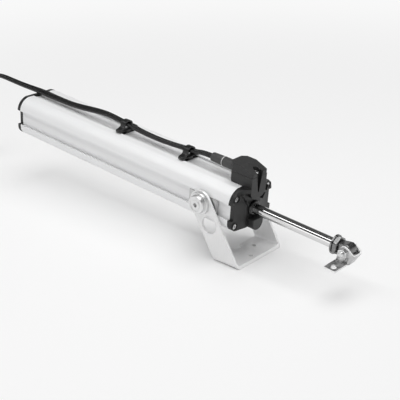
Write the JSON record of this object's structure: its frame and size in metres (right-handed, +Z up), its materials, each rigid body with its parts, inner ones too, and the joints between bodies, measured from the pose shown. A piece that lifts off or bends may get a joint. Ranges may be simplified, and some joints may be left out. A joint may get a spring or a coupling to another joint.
{
  "type": "electric linear actuator",
  "caption": "In-line electric linear actuator with an aluminium profile, a chromed push rod with an end bracket, a moulded head with cables, and a swivel mounting bracket.",
  "frame": {"origin": "middle of the swivel bracket's foot, on the face that is screwed down", "axes": "+X the way the rod pushes, level with the foot; +Y across, to the left; +Z up, square to the foot"},
  "size_m": [0.6848, 0.1111, 0.1271],
  "materials": {
    "bracket_steel": "zinc-plated sheet, satin",
    "slider_steel": "milled",
    "polished_steel": "polished",
    "washer_plastic": "moulded nylon",
    "anodised_aluminium": "satin anodised extrusion",
    "black_plastic": "fine-grained moulding",
    "seal_rubber": "moulded",
    "screw_steel": "zinc-plated",
    "bush_plastic": "acetal",
    "wiper_black": "glossy lip seal",
    "motor_steel": "plated steel can",
    "gearbox_metal": "turned and crimped",
    "block_aluminium": "machined",
    "board_green": "solder-resist coated laminate",
    "terminal_plastic": "moulded",
    "gland_plastic": "moulded",
    "gland_rubber": "soft sleeve",
    "clip_plastic": "moulded",
    "cable_sheath": "smooth sheath",
    "plug_plastic": "moulded",
    "spindle_steel": "rolled thread",
    "rod_chrome": "hard-chromed",
    "nut_brass": "machined",
    "nut_steel": "zinc-plated",
    "polished_sheet": "polished sheet"
  },
  "bodies": {
    "bracket": {"swivel_bracket": "bracket_steel"},
    "clamp": {"clamp_slider_left": "slider_steel", "clamp_slider_right": "slider_steel", "pivot_knob_left": "polished_steel", "pivot_knob_right": "polished_steel", "pivot_washers": "washer_plastic"},
    "housing": {"profile_tube": "anodised_aluminium", "rear_end_cap": "black_plastic", "rear_gasket": "seal_rubber", "rear_cap_screws": "screw_steel", "front_head": "black_plastic", "front_gasket": "seal_rubber", "head_screws": "screw_steel", "hump_lid": "black_plastic", "lid_screw": "screw_steel", "rod_guide_bush": "bush_plastic", "rod_wiper": "wiper_black", "motor_body": "motor_steel", "motor_end_bell": "bush_plastic", "motor_cradle": "seal_rubber", "gearbox": "gearbox_metal", "gearbox_plate": "block_aluminium", "bearing_block": "block_aluminium", "spindle_bearing": "polished_steel", "control_board": "board_green", "terminal_block": "terminal_plastic", "cable_gland_body": "gland_plastic", "cable_gland_sleeve": "gland_rubber", "cable_clip_front": "clip_plastic", "cable_clip_rear": "clip_plastic", "cable_a": "cable_sheath", "cable_b": "cable_sheath", "cable_coil": "cable_sheath", "plug_a": "plug_plastic", "plug_b": "plug_plastic"},
    "spindle_group": {"spindle": "spindle_steel", "shaft_coupling": "block_aluminium", "output_shaft": "spindle_steel"},
    "rod": {"push_rod": "rod_chrome", "nut_carrier": "bush_plastic", "drive_nut": "nut_brass", "rod_lock_nut": "nut_steel", "rod_washer": "nut_steel", "eye_bolt": "nut_steel"},
    "end": {"end_bracket": "polished_sheet", "pivot_pin": "polished_steel", "pin_nut": "polished_steel"}
  },
  "joints": [
    {"name": "bracket_tilt", "type": "hinge", "parent": "bracket", "child": "clamp", "pos_m": [-0.039, 0, 0.066], "axis": [0, 1, 0], "range_deg": [-35, 25]},
    {"name": "bracket_slide", "type": "slide", "parent": "clamp", "child": "housing", "axis": [0.9971, 0, -0.0767], "range_m": [-0.012, 0.25]},
    {"name": "rod_slide", "type": "slide", "parent": "housing", "child": "rod", "axis": [0.9971, 0, -0.0767], "range_m": [-0.095, 0.095]},
    {"name": "spindle_spin", "type": "hinge", "parent": "housing", "child": "spindle_group", "pos_m": [-0.03915, 0, 0.06401], "axis": [0.9971, 0, -0.0767], "continuous": true},
    {"name": "end_pivot", "type": "hinge", "parent": "rod", "child": "end", "pos_m": [0.13354, 0, 0.05072], "axis": [0, 1, 0], "range_deg": [-50, 12]}
  ],
  "couplings": [
    {"joint": "spindle_spin", "follows": "rod_slide", "rad_per_m": 2094.4}
  ]
}
